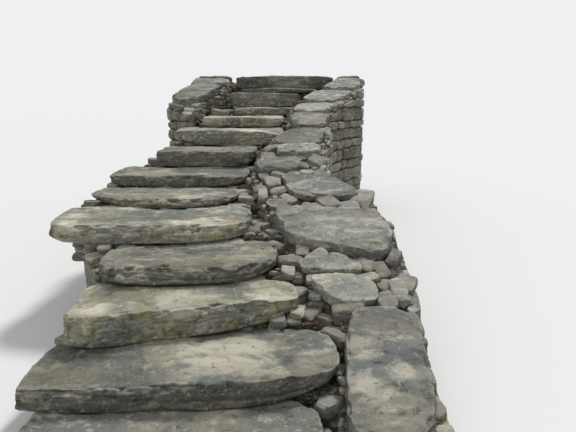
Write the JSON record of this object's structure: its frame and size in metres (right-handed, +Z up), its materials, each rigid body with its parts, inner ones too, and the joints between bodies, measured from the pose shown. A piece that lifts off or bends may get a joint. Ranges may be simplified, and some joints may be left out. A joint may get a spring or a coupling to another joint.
{
  "type": "outdoor stone steps",
  "caption": "Outdoor flight of rough natural stone slab steps, each slab on the back of the one below, with rubble beds and stone-topped raking cheeks.",
  "frame": {"origin": "on the ground under the lowest slab, close to the middle of its underside", "axes": "+Z up, +Y uphill along the flight, +X to the right of a person who climbs it"},
  "size_m": [2.9043, 6.349, 1.9713],
  "materials": {
    "tread_stone": "weathered grey-tan split sandstone with lichen, darker front faces",
    "side_stone": "weathered flat field stone with lichen and moss stains",
    "rubble": "dry-laid rubble walling, dark joints"
  },
  "bodies": {
    "root": {"tread_01": "tread_stone", "tread_02": "tread_stone", "tread_03": "tread_stone", "tread_04": "tread_stone", "tread_05": "tread_stone", "tread_06": "tread_stone", "tread_07": "tread_stone", "tread_08": "tread_stone", "tread_09": "tread_stone", "tread_10": "tread_stone", "tread_11": "tread_stone", "tread_12": "tread_stone", "tread_13": "tread_stone", "riser_block": "tread_stone", "side_stone_01": "side_stone", "side_stone_02": "side_stone", "side_stone_03": "side_stone", "side_stone_04": "side_stone", "side_stone_05": "side_stone", "side_stone_06": "side_stone", "side_stone_07": "side_stone", "side_stone_08": "side_stone", "side_stone_09": "side_stone", "side_stone_10": "side_stone", "side_stone_11": "side_stone", "left_stone_1": "side_stone", "left_stone_2": "side_stone", "landing_stones": "side_stone", "wedge_stones": "side_stone", "bed_02": "rubble", "bed_03": "rubble", "bed_04": "rubble", "bed_05": "rubble", "bed_06": "rubble", "bed_07": "rubble", "bed_08": "rubble", "bed_09": "rubble", "bed_10": "rubble", "bed_11": "rubble", "bed_12": "rubble", "bed_13": "rubble", "right_cheek_1": "rubble", "right_cheek_2": "rubble", "right_cheek_3": "rubble", "right_cheek_4": "rubble", "left_cheek": "rubble"}
  },
  "joints": []
}
